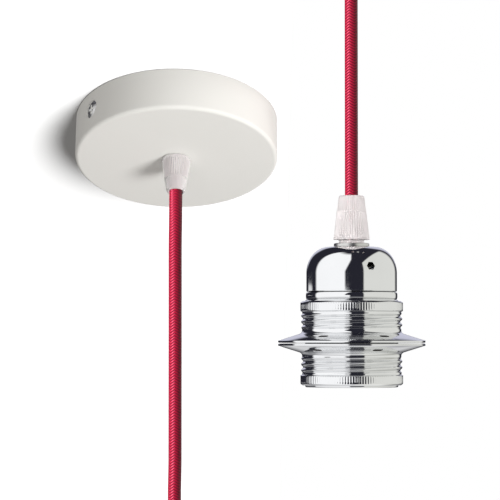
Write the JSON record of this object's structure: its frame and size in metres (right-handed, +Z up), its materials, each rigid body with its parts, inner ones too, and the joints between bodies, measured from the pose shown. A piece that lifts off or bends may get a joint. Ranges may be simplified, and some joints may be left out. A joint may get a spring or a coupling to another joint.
{
  "type": "pendant cord set",
  "caption": "Pendant light cord set: a round white ceiling rose, a red braided cord and a chrome screw lampholder with threaded shade rings.",
  "frame": {"origin": "middle of the ceiling rose's mounting face, on the strap", "axes": "+Z straight up, +X towards the lampholder, -Y to the side from which the face of the rose shows"},
  "size_m": [0.1768, 0.0836, 0.3695],
  "materials": {
    "white_coat": "matt powder coat",
    "chrome": "polished",
    "zinc": "zinc plated",
    "clear_nylon": "frosted, translucent",
    "red_textile": "fine braid, satin",
    "brass": "plain",
    "porcelain": "glazed",
    "white_nylon": "moulded",
    "brown_core": "satin",
    "blue_core": "satin",
    "earth_core": "satin"
  },
  "bodies": {
    "root": {"rose_cup": "white_coat", "holder_dome": "chrome", "holder_barrel": "chrome", "shade_ring_upper": "chrome", "shade_ring_lower": "chrome", "ceiling_strap": "zinc", "side_screw_left": "zinc", "side_screw_right": "zinc", "dome_bush": "zinc", "dome_bush_nut": "zinc", "ceiling_hook": "zinc", "terminal_screw_in_1": "zinc", "terminal_screw_in_2": "zinc", "terminal_screw_in_3": "zinc", "terminal_screw_out_1": "zinc", "terminal_screw_out_2": "zinc", "terminal_screw_out_3": "zinc", "rose_grip_cone": "clear_nylon", "rose_grip_stem": "clear_nylon", "rose_grip_nut": "clear_nylon", "holder_grip_cone": "clear_nylon", "holder_grip_stem": "clear_nylon", "cord_from_rose": "red_textile", "cord_to_holder": "red_textile", "cord_coil": "red_textile", "socket_screw_shell": "brass", "centre_contact": "brass", "socket_screw_live": "brass", "socket_screw_neutral": "brass", "socket_screw_earth": "brass", "terminal_sleeve_1": "brass", "terminal_sleeve_2": "brass", "terminal_sleeve_3": "brass", "socket_insert": "porcelain", "terminal_housing": "white_nylon", "coil_tie_1": "white_nylon", "coil_tie_2": "white_nylon", "rose_core_live": "brown_core", "holder_core_live": "brown_core", "rose_core_neutral": "blue_core", "holder_core_neutral": "blue_core", "rose_core_earth": "earth_core", "holder_core_earth": "earth_core"}
  },
  "joints": []
}
